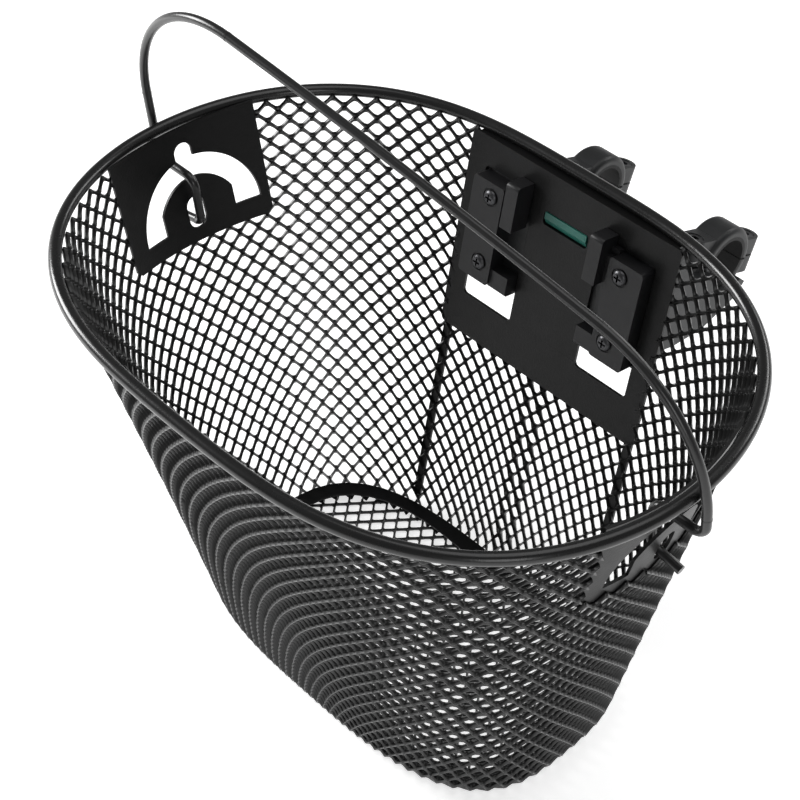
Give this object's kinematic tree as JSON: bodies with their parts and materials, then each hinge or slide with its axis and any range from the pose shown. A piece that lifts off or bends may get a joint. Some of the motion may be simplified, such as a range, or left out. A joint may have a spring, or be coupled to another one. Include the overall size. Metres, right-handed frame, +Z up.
{
  "type": "handlebar basket",
  "caption": "Black expanded-mesh handlebar basket with a swinging wire carry handle and a lift-off handlebar clamp bracket.",
  "frame": {"origin": "middle of the basket floor's underside, on the surface it stands on", "axes": "+Z up; +X to the basket's right across the bicycle, +Y back towards the rider and the handlebar"},
  "size_m": [0.3688, 0.3427, 0.3358],
  "materials": {
    "powder_coated_steel": "satin black powder coat",
    "black_plastic": "fine textured black nylon",
    "teal_plastic": "satin teal",
    "zinc_steel": "zinc plated",
    "black_screw": "black oxide",
    "rubber": "matte"
  },
  "bodies": {
    "bracket": {"bracket_body": "black_plastic", "left_hook_block": "black_plastic", "right_hook_block": "black_plastic", "hook_screws": "black_screw", "latch_spring": "zinc_steel", "latch_cover": "black_plastic", "cover_screws": "zinc_steel", "left_clamp_cap": "black_plastic", "right_clamp_cap": "black_plastic", "clamp_bolts": "black_screw", "clamp_nuts": "zinc_steel", "left_shim": "rubber", "right_shim": "rubber"},
    "basket": {"rim": "powder_coated_steel", "wall_mesh": "powder_coated_steel", "base_mesh": "powder_coated_steel", "base_ring": "powder_coated_steel", "left_side_plate": "powder_coated_steel", "right_side_plate": "powder_coated_steel", "mount_plate": "powder_coated_steel", "left_back_strut": "powder_coated_steel", "right_back_strut": "powder_coated_steel"},
    "handle": {"carry_handle": "powder_coated_steel"},
    "latch_button": {"latch": "teal_plastic"}
  },
  "joints": [
    {"name": "basket_lift", "type": "slide", "parent": "bracket", "child": "basket", "axis": [0, 0.1822, 0.9833], "range_m": [0, 0.009]},
    {"name": "handle_swing", "type": "hinge", "parent": "basket", "child": "handle", "pos_m": [0, -0.001, 0.19331], "axis": [1, 0, 0], "range_deg": [-62, 45]},
    {"name": "latch_press", "type": "slide", "parent": "bracket", "child": "latch_button", "axis": [0, 0.9833, -0.1822], "range_m": [0, 0.0054], "deforming": ["latch_spring"]}
  ],
  "couplings": [
    {"joint": "latch_press", "follows": "basket_lift", "ratio": 0.6}
  ]
}
